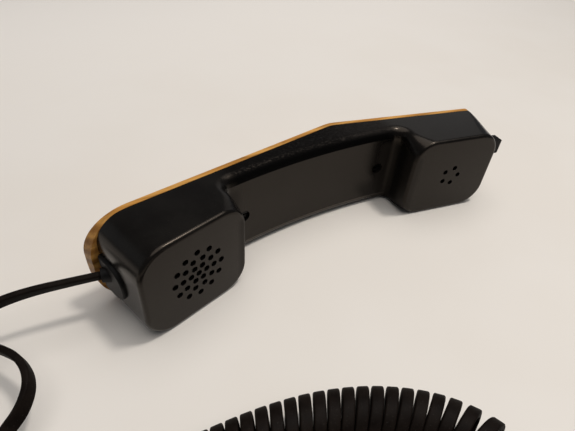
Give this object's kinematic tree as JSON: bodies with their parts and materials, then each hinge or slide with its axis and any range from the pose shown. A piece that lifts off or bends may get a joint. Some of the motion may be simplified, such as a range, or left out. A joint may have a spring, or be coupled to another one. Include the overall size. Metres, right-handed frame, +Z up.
{
  "type": "telephone handset",
  "caption": "Telephone handset with a black moulded front, perforated mouthpiece and earpiece blocks, a wooden back and a curly cord with a modular plug.",
  "frame": {"origin": "on the long side that the handset lies on, below the middle of the grip", "axes": "+X from the mouthpiece to the earpiece, +Y from the faces to the wooden back, +Z up"},
  "size_m": [0.3108, 0.2368, 0.047],
  "materials": {
    "black_moulding": "satin",
    "oak": "oiled",
    "black_screw": "satin",
    "brass_insert": "plain",
    "relief_rubber": "matte",
    "tab_plastic": "satin",
    "felt": "matte",
    "can_metal": "plain",
    "foil": "plain",
    "magnet_iron": "plain",
    "coil_copper": "plain",
    "gasket_rubber": "matte",
    "ring_plastic": "matte",
    "plated_steel": "plain",
    "board": "matte",
    "core_red": "matte",
    "core_blue": "matte",
    "core_green": "matte",
    "cord_jacket": "matte",
    "clear_plug": "clear",
    "gold_contact": "plain"
  },
  "bodies": {
    "handset": {"front_shell": "black_moulding", "wood_back": "oak", "cover_screws": "black_screw", "wood_inserts": "brass_insert", "strain_relief": "relief_rubber", "hang_tab": "tab_plastic", "transmitter_felt": "felt", "receiver_felt": "felt", "transmitter_can": "can_metal", "receiver_can": "can_metal", "transmitter_diaphragm": "foil", "receiver_diaphragm": "foil", "transmitter_electrode": "brass_insert", "receiver_magnet": "magnet_iron", "receiver_coil": "coil_copper", "transmitter_gasket": "gasket_rubber", "receiver_gasket": "gasket_rubber", "transmitter_ring": "ring_plastic", "receiver_ring": "ring_plastic", "transmitter_ring_screws": "plated_steel", "receiver_ring_screws": "plated_steel", "strip_screws": "plated_steel", "terminal_screws": "brass_insert", "terminal_strip": "board", "cord_cores": "core_red", "transmitter_wires": "core_blue", "receiver_wires": "core_green", "flat_lead": "cord_jacket", "curly_cord": "cord_jacket", "tail_lead": "cord_jacket", "plug_body": "clear_plug", "plug_contacts": "gold_contact"},
    "latch": {"plug_latch": "clear_plug"}
  },
  "joints": [
    {"name": "latch_press", "type": "hinge", "parent": "handset", "child": "latch", "pos_m": [-0.11075, -0.13991, 0.00715], "axis": [-0.4626, -0.8866, 0], "range_deg": [-9, 0], "stiffness_Nm_per_rad": 0.05}
  ]
}
